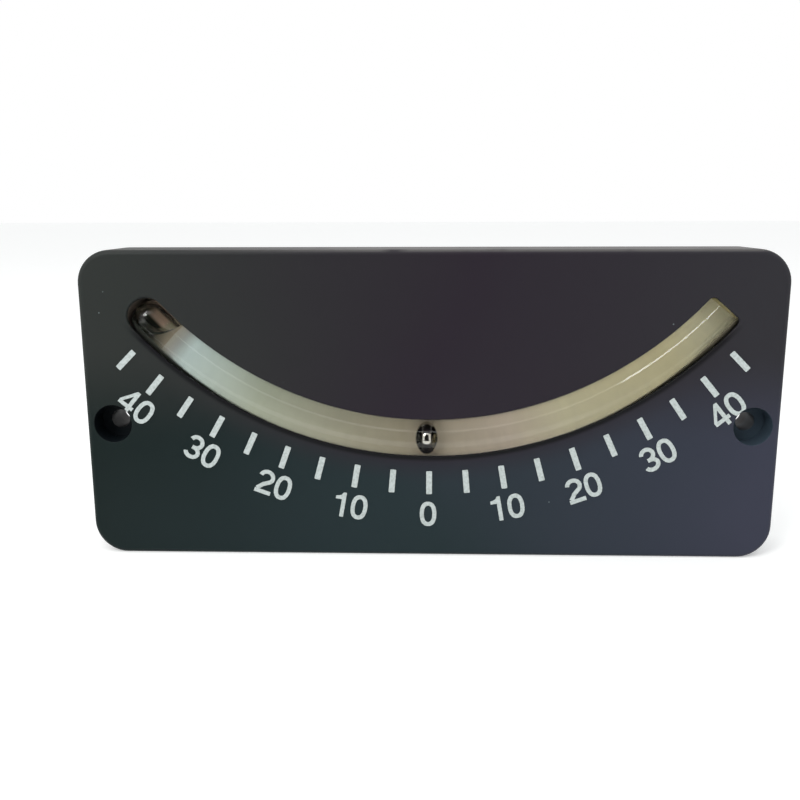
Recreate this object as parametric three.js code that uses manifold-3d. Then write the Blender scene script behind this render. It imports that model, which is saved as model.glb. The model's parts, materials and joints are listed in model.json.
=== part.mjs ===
// Ball inclinometer: a moulded plate with a curved liquid-filled tube, a steel ball and a degree scale.
// Drawn in millimetres with x to the right, y up and z out of the face; the last group turns y up into +Z.
import * as THREE from 'three';
import { mergeVertices } from 'three/addons/utils/BufferGeometryUtils.js';
import Module from 'manifold-3d';

const wasm = await Module();
wasm.setup();

// Clearance between pieces that touch, and how far a cutter runs past what it cuts.
const fitGap = 0.3;
const overrun = 2;

// Moulded body, its back at z = 0 and its face at z = bodyDepth. The mounting holes give its width.
const bodyHeight = 63.5;
const bodyDepth = 14;
const bodyCornerRadius = 6.8;
const faceFillet = 1.1;
const faceThickness = 2.4;
const rimThickness = 1.4;
const ledgeWidth = 1.3;
const troughWall = 1.6;

// Arc of the groove's centre line, and how far its lowest point lies above the body's bottom.
const arcRadius = 78.5;
const arcAboveBottom = 24.6;
const arcStepDegrees = 3;

// Glass tube: domed and closed at the left, open at the right, and a little outward of the groove's middle.
const tubeOutward = 0.4;
const tubeRadius = 3.85;
const boreRadius = 2.7;
const tubeInset = 1.1;
const tubeLeftDegrees = -49.45;
const tubeRightDegrees = 49.7;
const tubeDomeLength = 3.4;
const boreDomeLength = 2.3;
const tubeSides = 16;

// Groove that the tube lies in: round at the tube's dome, with tighter corners at its flat end.
const grooveHalfWidth = 4.6;
const domeGap = 0.75;
const grooveRoundRadius = 4.4;
const grooveCornerRadius = 0.8;

// Lip at the face, over the groove's outer side and its right end, which the tube slides in under.
const lipOverhang = 1.45;
const lipThickness = 0.8;
const mouthEndDegrees = 48.9;
const mouthRoundRadius = 3.65;
const mouthCornerRadius = 1.2;

// What the tube holds. The ball lies a little left of the middle, as it does in the photograph.
const ballRadius = 2.38;
const ballRestDegrees = -0.4;
const plugInnerDegrees = 48.3;
const meniscusDegrees = -43.8;
const meniscusDepth = 0.9;
const liquidSides = 10;

// What lies on the groove's floor under the tube.
const backingThickness = 0.5;
const backingLeftDegrees = -43;
const endAdhesiveHalfWidth = 2.6;
const endAdhesiveLength = 6.2;
const beadLength = 10;
const beadFootWidth = 0.8;
const beadMiddleDegrees = 28;
const beadStartDegrees = 25;
const beadEndDegrees = 42;

// Mounting holes with sunk seats for the screw heads, beside and below the middles of the last numbers.
const mountBesideNumber = 5.31;
const mountBelowNumber = 3.57;
const mountFromSide = 5.5;
const headSeatRadius = 3.9;
const headSeatDepth = 5;
const mountHoleRadius = 1.95;
const bossWall = 1.7;

// Back cover and its six screws.
const coverThickness = 2;
const postRadius = 3.1;
const postInset = 7;
const topPostSpread = 42;
const screwHeadRadius = 2.6;
const screwHeadHeight = 1.2;
const screwLength = 7.5;
const screwShankRadius = 1.2;
const screwTipLength = 1;
const recessLength = 2.8;
const recessWidth = 0.6;
const recessDepth = 0.7;

// Printed scale: bars every five degrees and a number every ten.
const inkThickness = 0.1;
const tickOutward = 8.7;
const tickLength = 4.9;
const tickWidth = 1.2;
const tickStepDegrees = 5;
const tickLastDegrees = 45;
const middleNumberOutward = 15.45;
const lastNumberOutward = 14.75;
const numberShift = -0.2;
const numberStepDegrees = 10;
const numberLast = 40;
const digitPitch = 3.85;
const digitHeight = 5.3;
const digitWidth = 3.45;
const digitStroke = 0.85;

// Places that follow from the sizes above.
const radians = THREE.MathUtils.degToRad;
const arcCentre = new THREE.Vector2(0, arcRadius + arcAboveBottom - bodyHeight / 2);
const tubeAxisDepth = bodyDepth - tubeInset - tubeRadius;
const grooveFloor = tubeAxisDepth - tubeRadius - fitGap - backingThickness;
const cavityInset = rimThickness + ledgeWidth;
const faceBack = bodyDepth - faceThickness;
const lastNumber = { radius: arcRadius + lastNumberOutward, angle: radians(numberLast) };
const mountSide = lastNumber.radius * Math.sin(lastNumber.angle) + mountBesideNumber;
const mountHeight = arcCentre.y - lastNumber.radius * Math.cos(lastNumber.angle) - mountBelowNumber;
const mountPlaces = [-1, 1].map((side) => new THREE.Vector2(side * mountSide, mountHeight));
const bodyWidth = 2 * (mountSide + mountFromSide);
const postHeight = bodyHeight / 2 - postInset;
const postSide = bodyWidth / 2 - postInset;
const postPlaces = [
  ['cover_screw_bottom_left', -postSide, -postHeight],
  ['cover_screw_bottom_middle', 0, -postHeight],
  ['cover_screw_bottom_right', postSide, -postHeight],
  ['cover_screw_top_left', -topPostSpread, postHeight],
  ['cover_screw_top_middle', 0, postHeight],
  ['cover_screw_top_right', topPostSpread, postHeight],
];

const blackPlastic = { color: 0x2e2f33, roughness: 0.55, metalness: 0 };
const whiteInk = { color: 0xdfe6e4, roughness: 0.6, metalness: 0 };
const clearGlass = { color: 0xe8f0ea, roughness: 0.05, metalness: 0, transparent: true, opacity: 0.3 };
const clearLiquid = { color: 0xf0edd8, roughness: 0.05, metalness: 0, transparent: true, opacity: 0.3 };
const creamFilm = { color: 0xd8d2b4, roughness: 0.6, metalness: 0 };
const brownAdhesive = { color: 0x6f5348, roughness: 0.5, metalness: 0 };
const blackSilicone = { color: 0x151517, roughness: 0.5, metalness: 0 };
const creamRubber = { color: 0xcfc79a, roughness: 0.7, metalness: 0 };
const polishedSteel = { color: 0x8a8d90, roughness: 0.12, metalness: 1 };
const zincSteel = { color: 0xa9abad, roughness: 0.35, metalness: 1 };

function makeMesh(name, geometry, finish) {
  const mesh = new THREE.Mesh(geometry, new THREE.MeshStandardMaterial(finish));
  mesh.name = name;
  return mesh;
}

// Join with manifold: a closed geometry in, a solid out.
function toSolid(geometry) {
  const bare = geometry.index ? geometry.toNonIndexed() : geometry.clone();
  bare.deleteAttribute('normal');
  bare.deleteAttribute('uv');
  const merged = mergeVertices(bare);
  return new wasm.Manifold(new wasm.Mesh({
    numProp: 3,
    vertProperties: new Float32Array(merged.attributes.position.array),
    triVerts: new Uint32Array(merged.index.array),
  }));
}

function toGeometry(solid) {
  const mesh = solid.getMesh();
  const geometry = new THREE.BufferGeometry();
  geometry.setAttribute('position', new THREE.BufferAttribute(mesh.vertProperties.slice(), mesh.numProp));
  geometry.setIndex(new THREE.BufferAttribute(mesh.triVerts.slice(), 1));
  geometry.computeVertexNormals();
  return geometry;
}

const joinAll = (solids) => solids.reduce((whole, piece) => whole.add(piece));
const cutAll = (solid, cutters) => cutters.reduce((left, cutter) => left.subtract(cutter), solid);

// Turn the triangles round where a geometry came out facing in.
function faceOut(geometry) {
  const flat = geometry.index ? geometry.toNonIndexed() : geometry;
  const points = flat.attributes.position;
  const [a, b, c] = [new THREE.Vector3(), new THREE.Vector3(), new THREE.Vector3()];
  let volume = 0;
  for (let i = 0; i < points.count; i += 3) {
    a.fromBufferAttribute(points, i);
    b.fromBufferAttribute(points, i + 1);
    c.fromBufferAttribute(points, i + 2);
    volume += a.dot(b.cross(c));
  }
  if (volume > 0) return flat;
  for (let i = 0; i < points.count; i += 3) {
    b.fromBufferAttribute(points, i + 1);
    c.fromBufferAttribute(points, i + 2);
    points.setXYZ(i + 1, c.x, c.y, c.z);
    points.setXYZ(i + 2, b.x, b.y, b.z);
  }
  return flat;
}

// Length along the tube's centre line for an angle, and the place of a point beside that line.
const alongArc = (degrees) => radians(degrees) * arcRadius;

function arcPoint(along, outward) {
  const angle = along / arcRadius;
  const radius = arcRadius + outward;
  return new THREE.Vector2(radius * Math.sin(angle), arcCentre.y - radius * Math.cos(angle));
}

// Bend a straight geometry: its x becomes outward, its y runs along the arc and its z stays depth.
function bend(geometry) {
  const points = geometry.attributes.position;
  for (let i = 0; i < points.count; i += 1) {
    const place = arcPoint(points.getY(i), points.getX(i));
    points.setXY(i, place.x, place.y);
  }
  return faceOut(geometry);
}

// Lengths from start to end along the arc, in steps of about arcStepDegrees.
function arcStops(start, end) {
  const count = Math.max(1, Math.round(Math.abs(end - start) / alongArc(arcStepDegrees)));
  return Array.from({ length: count + 1 }, (_, i) => start + (end - start) * i / count);
}

function roundedPlate(width, height, radius) {
  const shape = new THREE.Shape();
  const x = width / 2 - radius;
  const y = height / 2 - radius;
  shape.absarc(x, y, radius, 0, Math.PI / 2);
  shape.absarc(-x, y, radius, Math.PI / 2, Math.PI);
  shape.absarc(-x, -y, radius, Math.PI, 1.5 * Math.PI);
  shape.absarc(x, -y, radius, 1.5 * Math.PI, 2 * Math.PI);
  return shape;
}

// A strip with round corners that follows the arc, moved outward by its offset.
function arcStrip(start, end, halfWidth, startRadius, endRadius = startRadius, offset = 0) {
  const outline = [];
  const corner = (along, side, radius, from) => {
    const steps = 6;
    const outward = side * (halfWidth - radius);
    for (let i = 0; i <= steps; i += 1) {
      const angle = from + (Math.PI / 2) * i / steps;
      outline.push([along + radius * Math.cos(angle), outward + radius * Math.sin(angle)]);
    }
  };
  const stops = arcStops(end - endRadius, start + startRadius).slice(1, -1);
  corner(end - endRadius, 1, endRadius, 0);
  stops.forEach((along) => outline.push([along, halfWidth]));
  corner(start + startRadius, 1, startRadius, Math.PI / 2);
  corner(start + startRadius, -1, startRadius, Math.PI);
  stops.reverse().forEach((along) => outline.push([along, -halfWidth]));
  corner(end - endRadius, -1, endRadius, 1.5 * Math.PI);
  return new THREE.Shape(outline.map(([along, outward]) => arcPoint(along, outward + offset)));
}

// Extrude a shape between two depths.
function slab(shape, from, to) {
  const settings = { depth: to - from, bevelEnabled: false, curveSegments: 8 };
  return new THREE.ExtrudeGeometry(shape, settings).translate(0, 0, from);
}

function rod(place, radius, from, to, sides = 24) {
  const geometry = new THREE.CylinderGeometry(radius, radius, to - from, sides);
  return geometry.rotateX(Math.PI / 2).translate(place.x, place.y, (from + to) / 2);
}

// Moulded housing: filleted plate, hollow from the back, with a trough, two bosses and six posts.
function makeHousing() {
  const outline = roundedPlate(bodyWidth, bodyHeight, bodyCornerRadius);
  const block = new THREE.ExtrudeGeometry(outline, {
    depth: bodyDepth - faceFillet,
    bevelThickness: faceFillet,
    bevelSize: faceFillet,
    bevelOffset: -faceFillet,
    bevelSegments: 3,
    curveSegments: 8,
  });
  const behind = slab(roundedPlate(bodyWidth + overrun, bodyHeight + overrun, bodyCornerRadius), -overrun, 0);

  const cavityOutline = roundedPlate(
    bodyWidth - 2 * cavityInset,
    bodyHeight - 2 * cavityInset,
    bodyCornerRadius - cavityInset,
  );
  const grooveStart = alongArc(tubeLeftDegrees) - domeGap;
  const grooveEnd = alongArc(tubeRightDegrees) + fitGap;
  const groove = arcStrip(grooveStart, grooveEnd, grooveHalfWidth, grooveRoundRadius, grooveCornerRadius);
  const mouth = arcStrip(
    grooveStart,
    alongArc(mouthEndDegrees),
    grooveHalfWidth - lipOverhang / 2,
    mouthRoundRadius,
    mouthCornerRadius,
    -lipOverhang / 2,
  );
  const trough = arcStrip(
    grooveStart - troughWall,
    grooveEnd + troughWall,
    grooveHalfWidth + troughWall,
    grooveRoundRadius + troughWall,
    grooveCornerRadius + troughWall,
  );
  const keptInside = [
    toSolid(slab(trough, grooveFloor - troughWall, bodyDepth)),
    ...mountPlaces.map((place) => toSolid(rod(place, headSeatRadius + bossWall, -overrun, bodyDepth))),
    ...postPlaces.map(([, x, y]) => toSolid(rod(new THREE.Vector2(x, y), postRadius, -overrun, bodyDepth))),
  ];
  const cavity = cutAll(toSolid(slab(cavityOutline, -overrun, faceBack)), keptInside);

  const coverPocket = roundedPlate(
    bodyWidth - 2 * rimThickness,
    bodyHeight - 2 * rimThickness,
    bodyCornerRadius - rimThickness,
  );
  const pilotEnd = screwLength + fitGap + coverThickness;
  const cutters = [
    toSolid(behind),
    cavity,
    toSolid(slab(coverPocket, -overrun, coverThickness)),
    toSolid(slab(groove, grooveFloor, bodyDepth - lipThickness)),
    toSolid(slab(mouth, grooveFloor, bodyDepth + overrun)),
    ...mountPlaces.map((place) => toSolid(rod(place, mountHoleRadius, -overrun, bodyDepth))),
    ...mountPlaces.map((place) => (
      toSolid(rod(place, headSeatRadius, bodyDepth - headSeatDepth, bodyDepth + overrun, 40))
    )),
    ...postPlaces.map(([, x, y]) => (
      toSolid(rod(new THREE.Vector2(x, y), screwShankRadius + fitGap, -overrun, pilotEnd, 12))
    )),
  ];
  return makeMesh('front_housing', toGeometry(cutAll(toSolid(block), cutters)), blackPlastic);
}

// Flat cover that closes the back, with holes for the mounting screws and seats for its own.
function makeCover() {
  const inset = rimThickness + fitGap;
  const outline = roundedPlate(bodyWidth - 2 * inset, bodyHeight - 2 * inset, bodyCornerRadius - inset);
  const cutters = [
    ...mountPlaces.map((place) => toSolid(rod(place, mountHoleRadius, -overrun, coverThickness + overrun))),
    ...postPlaces.flatMap(([, x, y]) => {
      const place = new THREE.Vector2(x, y);
      return [
        toSolid(rod(place, screwHeadRadius + fitGap, -overrun, screwHeadHeight, 20)),
        toSolid(rod(place, screwShankRadius + fitGap, -overrun, coverThickness + overrun, 12)),
      ];
    }),
  ];
  const plate = toSolid(slab(outline, 0, coverThickness));
  return makeMesh('back_cover', toGeometry(cutAll(plate, cutters)), blackPlastic);
}

// Self-tapping screw with a flat head and a cross recess, its head flush with the back.
function makeCoverScrew([name, x, y]) {
  const end = screwHeadHeight + screwLength;
  const profile = [
    new THREE.Vector2(0, 0),
    new THREE.Vector2(screwHeadRadius, 0),
    new THREE.Vector2(screwHeadRadius, screwHeadHeight),
    new THREE.Vector2(screwShankRadius, screwHeadHeight),
    new THREE.Vector2(screwShankRadius, end - screwTipLength),
    new THREE.Vector2(0, end),
  ];
  const turned = faceOut(new THREE.LatheGeometry(profile, 16).rotateX(Math.PI / 2));
  const slots = [[recessLength, recessWidth], [recessWidth, recessLength]].map(([width, height]) => (
    toSolid(new THREE.BoxGeometry(width, height, 2 * recessDepth))
  ));
  const screw = makeMesh(name, toGeometry(cutAll(toSolid(turned), slots)), zincSteel);
  screw.position.set(x, y, 0);
  return screw;
}

// Points of a quarter ellipse from the axis out, for the closed end of the tube or its bore.
function domeProfile(start, length, radius) {
  const steps = 5;
  return Array.from({ length: steps }, (_, i) => {
    const angle = (Math.PI / 2) * i / steps;
    return new THREE.Vector2(radius * Math.sin(angle), start + length * (1 - Math.cos(angle)));
  });
}

// Turn a profile of radius against length round the tube's centre line, and bend it to the arc.
function bentLathe(profile, sides) {
  const turned = new THREE.LatheGeometry(profile, sides);
  return bend(turned.translate(tubeOutward, 0, tubeAxisDepth));
}

function makeTube() {
  const left = alongArc(tubeLeftDegrees);
  const right = alongArc(tubeRightDegrees);
  const boreTip = left + tubeDomeLength - boreDomeLength;
  const outside = arcStops(left + tubeDomeLength, right).map((along) => new THREE.Vector2(tubeRadius, along));
  const inside = arcStops(right, left + tubeDomeLength).map((along) => new THREE.Vector2(boreRadius, along));
  const profile = [
    ...domeProfile(left, tubeDomeLength, tubeRadius),
    ...outside,
    ...inside,
    ...domeProfile(boreTip, boreDomeLength, boreRadius).reverse(),
  ];
  return makeMesh('glass_tube', bentLathe(profile, tubeSides), clearGlass);
}

// A round column inside the bore; the left one is hollowed by the bubble.
function makeColumn(name, from, to, hollow, finish) {
  const radius = boreRadius - fitGap;
  const side = arcStops(from, to).map((along) => new THREE.Vector2(radius, along));
  const start = hollow > 0 ? domeProfile(from + hollow, -hollow, radius) : [new THREE.Vector2(0, from)];
  return makeMesh(name, bentLathe([...start, ...side, new THREE.Vector2(0, to)], liquidSides), finish);
}

function makeBall() {
  const ball = makeMesh('ball', new THREE.SphereGeometry(ballRadius, 20, 12), polishedSteel);
  const place = arcPoint(alongArc(ballRestDegrees), tubeOutward);
  ball.position.set(place.x, place.y, tubeAxisDepth);
  return ball;
}

function makeTubeContents() {
  const meniscus = alongArc(meniscusDegrees);
  const ballLeft = alongArc(ballRestDegrees) - ballRadius - fitGap;
  const ballRight = alongArc(ballRestDegrees) + ballRadius + fitGap;
  const plugInner = alongArc(plugInnerDegrees);
  return [
    makeColumn('damping_liquid_left', meniscus, ballLeft, meniscusDepth, clearLiquid),
    makeColumn('damping_liquid_right', ballRight, plugInner - fitGap, 0, clearLiquid),
    makeColumn('tube_plug', plugInner, alongArc(tubeRightDegrees), 0, creamRubber),
    makeBall(),
  ];
}

// Cream film on the floor of the groove, and the adhesive pad under the tube's closed end.
function makeBacking() {
  const left = alongArc(backingLeftDegrees);
  const top = grooveFloor + backingThickness;
  const film = arcStrip(left, alongArc(tubeRightDegrees), grooveHalfWidth - fitGap, backingThickness);
  const padRight = left - fitGap;
  const pad = arcStrip(padRight - endAdhesiveLength, padRight, endAdhesiveHalfWidth, grooveCornerRadius);
  return [
    makeMesh('tube_backing', slab(film, grooveFloor, top), creamFilm),
    makeMesh('tube_end_adhesive', slab(pad, grooveFloor, top), brownAdhesive),
  ];
}

// Bead of silicone on the film's edge, hollowed to the tube's round side.
function makeBead(name, degrees, side) {
  const reach = tubeRadius + fitGap;
  const steps = 3;
  const section = Array.from({ length: steps + 1 }, (_, i) => {
    const angle = radians(beadStartDegrees + (beadEndDegrees - beadStartDegrees) * i / steps);
    const outward = tubeOutward + side * reach * Math.cos(angle);
    return new THREE.Vector2(outward, tubeAxisDepth - reach * Math.sin(angle));
  });
  const wall = grooveHalfWidth - fitGap;
  const foot = grooveFloor + backingThickness;
  section.push(new THREE.Vector2(side * (wall - beadFootWidth), foot));
  section.push(new THREE.Vector2(side * wall, foot));
  section.push(new THREE.Vector2(side * wall, section[0].y));
  const straight = new THREE.ExtrudeGeometry(new THREE.Shape(section), {
    depth: beadLength,
    steps: 3,
    bevelEnabled: false,
  });
  straight.translate(0, 0, alongArc(degrees) - beadLength / 2);
  const points = straight.attributes.position;
  for (let i = 0; i < points.count; i += 1) {
    points.setXYZ(i, points.getX(i), points.getZ(i), points.getY(i));
  }
  return makeMesh(name, bend(straight), blackSilicone);
}

function makeBeads() {
  return [
    makeBead('tube_bead_left_inner', -beadMiddleDegrees, -1),
    makeBead('tube_bead_left_outer', -beadMiddleDegrees, 1),
    makeBead('tube_bead_right_inner', beadMiddleDegrees, -1),
    makeBead('tube_bead_right_outer', beadMiddleDegrees, 1),
  ];
}

// Where a mark or a number sits on the scale: upright towards the arc's centre.
function scalePlace(degrees, outward) {
  const angle = radians(degrees);
  const radius = arcRadius + outward;
  const turn = new THREE.Matrix4().makeRotationZ(angle);
  return turn.setPosition(radius * Math.sin(angle), arcCentre.y - radius * Math.cos(angle), bodyDepth);
}

function sideName(degrees) {
  if (degrees === 0) return 'centre';
  return `${degrees < 0 ? 'left' : 'right'}_${Math.abs(degrees)}`;
}

function makeTicks() {
  const ticks = [];
  for (let degrees = -tickLastDegrees; degrees <= tickLastDegrees; degrees += tickStepDegrees) {
    const bar = new THREE.BoxGeometry(tickWidth, tickLength, inkThickness).translate(0, 0, inkThickness / 2);
    const tick = makeMesh(`tick_${sideName(degrees)}`, bar, whiteInk);
    tick.applyMatrix4(scalePlace(degrees, tickOutward));
    ticks.push(tick);
  }
  return ticks;
}

// Digits are drawn about their own middle, in shares of half their width and half their height.
const halfDigit = new THREE.Vector2(digitWidth / 2, digitHeight / 2);
const bowlReach = new THREE.Vector2(halfDigit.x - digitStroke / 2, halfDigit.y - digitStroke / 2);
const fromShares = (shares) => shares.map(([x, y]) => new THREE.Vector2(x * halfDigit.x, y * halfDigit.y));

// Outline of a line of the digits' stroke width along a list of points.
function strokeShape(points) {
  const sides = [[], []];
  points.forEach((point, i) => {
    const before = points[Math.max(i - 1, 0)];
    const after = points[Math.min(i + 1, points.length - 1)];
    const into = new THREE.Vector2().subVectors(point, before);
    const out = new THREE.Vector2().subVectors(after, point);
    if (into.length() === 0) into.copy(out);
    if (out.length() === 0) out.copy(into);
    const along = into.normalize().add(out.normalize()).normalize();
    const reach = digitStroke / 2 / along.dot(into);
    sides[0].push(new THREE.Vector2(point.x - along.y * reach, point.y + along.x * reach));
    sides[1].unshift(new THREE.Vector2(point.x + along.y * reach, point.y - along.x * reach));
  });
  return new THREE.Shape([...sides[0], ...sides[1]]);
}

function ellipsePoints(centre, reach, fromDegrees, toDegrees, steps) {
  return Array.from({ length: steps + 1 }, (_, i) => {
    const angle = radians(fromDegrees + (toDegrees - fromDegrees) * i / steps);
    return new THREE.Vector2(centre.x + reach.x * Math.cos(angle), centre.y + reach.y * Math.sin(angle));
  });
}

// Oval with sides a little straighter than an ellipse's.
function ovalPoints(reach, steps) {
  const power = 0.86;
  const flatten = (value) => Math.sign(value) * Math.abs(value) ** power;
  return Array.from({ length: steps }, (_, i) => {
    const angle = 2 * Math.PI * i / steps;
    return new THREE.Vector2(reach.x * flatten(Math.cos(angle)), reach.y * flatten(Math.sin(angle)));
  });
}

function digitZero() {
  const shape = new THREE.Shape(ovalPoints(halfDigit, 20));
  const inside = new THREE.Vector2(halfDigit.x - digitStroke, halfDigit.y - digitStroke);
  shape.holes.push(new THREE.Path(ovalPoints(inside, 20)));
  return [shape];
}

function digitOne() {
  const stemLeftShare = 0.02;
  const flagShares = [[0.14, 1], [-0.08, 0.78], [-0.72, 0.66], [-0.72, 0.42], [stemLeftShare, 0.42]];
  const stemRightShare = stemLeftShare + digitStroke / halfDigit.x;
  const stemShares = [[stemLeftShare, -1], [stemRightShare, -1], [stemRightShare, 1]];
  return [new THREE.Shape(fromShares([...stemShares, ...flagShares]))];
}

function digitTwo() {
  const bowlShare = 0.46;
  const waistShares = [-0.19, -0.25];
  const reach = new THREE.Vector2(bowlReach.x, halfDigit.y * bowlShare);
  const centre = new THREE.Vector2(0, bowlReach.y - reach.y);
  const foot = new THREE.Vector2(-bowlReach.x, -halfDigit.y + digitStroke);
  const [waist] = fromShares([waistShares]);
  const base = [new THREE.Vector2(-halfDigit.x, -bowlReach.y), new THREE.Vector2(halfDigit.x, -bowlReach.y)];
  return [
    strokeShape([...ellipsePoints(centre, reach, 170, -40, 11), waist, foot]),
    strokeShape(base),
  ];
}

function digitThree() {
  const upperHeightShare = 0.44;
  const upperWidthShare = 0.94;
  const neckShare = -0.33;
  const upper = new THREE.Vector2(bowlReach.x * upperWidthShare, halfDigit.y * upperHeightShare);
  const lower = new THREE.Vector2(bowlReach.x, bowlReach.y - upper.y);
  const upperCentre = new THREE.Vector2(0, bowlReach.y - upper.y);
  const lowerCentre = new THREE.Vector2(0, lower.y - bowlReach.y);
  const neck = new THREE.Vector2(bowlReach.x * neckShare, bowlReach.y - 2 * upper.y);
  return [
    strokeShape([...ellipsePoints(upperCentre, upper, 165, -90, 11), neck]),
    strokeShape(ellipsePoints(lowerCentre, lower, 90, -165, 11)),
  ];
}

function digitFour() {
  const outlineShares = [
    [0.2, -1], [0.68, -1], [0.68, -0.6], [1, -0.6], [1, -0.3], [0.68, -0.3], [0.68, 1],
    [0.24, 1], [-1, -0.26], [-1, -0.6], [0.2, -0.6],
  ];
  const holeShares = [[0.2, -0.3], [0.2, 0.5], [-0.6, -0.3]];
  const shape = new THREE.Shape(fromShares(outlineShares));
  shape.holes.push(new THREE.Path(fromShares(holeShares)));
  return [shape];
}

const digitShapes = { 0: digitZero, 1: digitOne, 2: digitTwo, 3: digitThree, 4: digitFour };

// The numbers step in a little towards the arc's centre from the middle to the ends.
function numberPlace(number) {
  const share = Math.abs(number) / numberLast;
  return scalePlace(number, THREE.MathUtils.lerp(middleNumberOutward, lastNumberOutward, share));
}

// One printed digit, cut clear of the mounting holes that the outermost numbers run up to.
function makeDigit(name, digit, number, offset) {
  const clearOfHoles = mountPlaces.map((place) => (
    toSolid(rod(place, headSeatRadius + fitGap / 2, bodyDepth - overrun, bodyDepth + overrun))
  ));
  const print = joinAll(digitShapes[digit]().map((shape) => {
    const stroke = slab(shape, 0, inkThickness).translate(offset, 0, 0);
    return toSolid(stroke.applyMatrix4(numberPlace(number)));
  }));
  return makeMesh(name, toGeometry(cutAll(print, clearOfHoles)), whiteInk);
}

function makeNumbers() {
  const digits = [];
  for (let number = -numberLast; number <= numberLast; number += numberStepDegrees) {
    const text = String(Math.abs(number));
    [...text].forEach((digit, i) => {
      const offset = numberShift + (i - (text.length - 1) / 2) * digitPitch;
      const place = text.length > 1 ? `_${['tens', 'units'][i]}` : '';
      digits.push(makeDigit(`digit_${sideName(number)}${place}`, digit, number, offset));
    });
  }
  return digits;
}

const inclinometer = new THREE.Group();
inclinometer.add(
  makeHousing(),
  makeCover(),
  ...postPlaces.map(makeCoverScrew),
  makeTube(),
  ...makeTubeContents(),
  ...makeBacking(),
  ...makeBeads(),
  ...makeTicks(),
  ...makeNumbers(),
);
inclinometer.rotation.x = Math.PI / 2;

const part = new THREE.Group();
part.add(inclinometer);

export default part;
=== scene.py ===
# Ball inclinometer: a curved liquid-filled tube with a steel ball, in a moulded plate with a printed scale
import json
import math
import random

import bmesh
import bpy
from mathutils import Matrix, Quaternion, Vector


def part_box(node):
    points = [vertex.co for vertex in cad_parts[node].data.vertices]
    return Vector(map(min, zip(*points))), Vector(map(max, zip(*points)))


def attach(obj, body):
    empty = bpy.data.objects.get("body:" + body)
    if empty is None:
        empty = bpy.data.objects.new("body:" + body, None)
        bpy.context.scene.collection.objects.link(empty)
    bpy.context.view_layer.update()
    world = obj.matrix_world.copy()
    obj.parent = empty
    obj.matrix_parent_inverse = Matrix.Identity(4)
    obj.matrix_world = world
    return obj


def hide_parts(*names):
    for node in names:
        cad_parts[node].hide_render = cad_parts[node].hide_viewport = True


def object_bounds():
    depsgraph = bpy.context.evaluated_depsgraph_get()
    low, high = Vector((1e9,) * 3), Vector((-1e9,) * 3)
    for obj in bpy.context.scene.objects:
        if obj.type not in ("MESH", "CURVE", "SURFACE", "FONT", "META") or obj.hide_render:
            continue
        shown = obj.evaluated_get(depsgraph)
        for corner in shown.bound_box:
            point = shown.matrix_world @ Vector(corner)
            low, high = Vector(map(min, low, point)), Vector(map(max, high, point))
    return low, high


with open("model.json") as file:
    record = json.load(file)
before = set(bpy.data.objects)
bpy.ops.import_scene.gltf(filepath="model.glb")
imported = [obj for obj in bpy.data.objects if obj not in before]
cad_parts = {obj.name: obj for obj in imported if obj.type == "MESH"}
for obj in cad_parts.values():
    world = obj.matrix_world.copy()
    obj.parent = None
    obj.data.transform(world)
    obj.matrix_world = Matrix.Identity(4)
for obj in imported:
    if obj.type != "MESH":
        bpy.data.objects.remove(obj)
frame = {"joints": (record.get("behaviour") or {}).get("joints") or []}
cadLow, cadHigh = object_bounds()
mm = 0.001

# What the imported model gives, in millimetres: x to the right, up, and out from the flat back
plateLow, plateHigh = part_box("front_housing")
ballLow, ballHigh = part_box("ball")
tickLow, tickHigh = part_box("tick_centre")
arcCentre = frame["joints"][0]["pos_m"]

arc = {
    "centreUp": arcCentre[2] / mm,
    "radius": 78.5,  # middle of the groove
    "tubeRadius": math.hypot(
        (ballLow.x + ballHigh.x) / 2 - arcCentre[0],
        (ballLow.z + ballHigh.z) / 2 - arcCentre[2],
    ) / mm,
    "tubeOut": -arcCentre[1] / mm,
    "tickRadius": (arcCentre[2] - (tickLow.z + tickHigh.z) / 2) / mm,
}

# length of one degree along the arc, in mm
perDegree = math.radians(arc["radius"])


def toFrame(x, up, out):
    return Vector((x, -out, up)) * mm


def arcPoint(degrees, outward):
    angle = math.radians(degrees)
    radius = arc["radius"] + outward
    return radius * math.sin(angle), arc["centreUp"] - radius * math.cos(angle)


def spread(start, end, count):
    return [start + (end - start) * i / count for i in range(count + 1)]


def fullTurn(count):
    return spread(0, 2 * math.pi, count)[:-1]


# Shape tools

steps = {
    # how many make up a whole circle
    "round": 72, "seat": 96, "hole": 64, "post": 48, "stopper": 48, "screw": 40, "pilot": 32,
    "ball": 96, "zero": 60,
    # and a quarter circle
    "plateCorner": 14, "dome": 14, "stripCorner": 10, "faceFillet": 8, "lip": 5, "tubeEnd": 5, "edge": 4,
    "backEdge": 3, "barCorner": 3,
    # and the length of a form
    "tube": 100, "bubble": 24, "oilSurface": 40, "ballRings": 64, "beadHollow": 8, "bead": 24, "numeral": 30,
}
quadrants = ((1, 1), (-1, 1), (-1, -1), (1, -1))  # signs of x and up in each quarter, counterclockwise
overrun = 1  # how far a cutter stands out of what it cuts, in mm


def addObject(name, data):
    thing = bpy.data.objects.new(name, data)
    bpy.context.scene.collection.objects.link(thing)
    return thing


def newPiece(name, points, faces):
    # points are (x, up, out) in mm
    mesh = bpy.data.meshes.new(name)
    mesh.from_pydata([toFrame(*p) for p in points], [], faces)
    work = bmesh.new()
    work.from_mesh(mesh)
    bmesh.ops.recalc_face_normals(work, faces=work.faces)
    work.to_mesh(mesh)
    work.free()
    return addObject(name, mesh)


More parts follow.
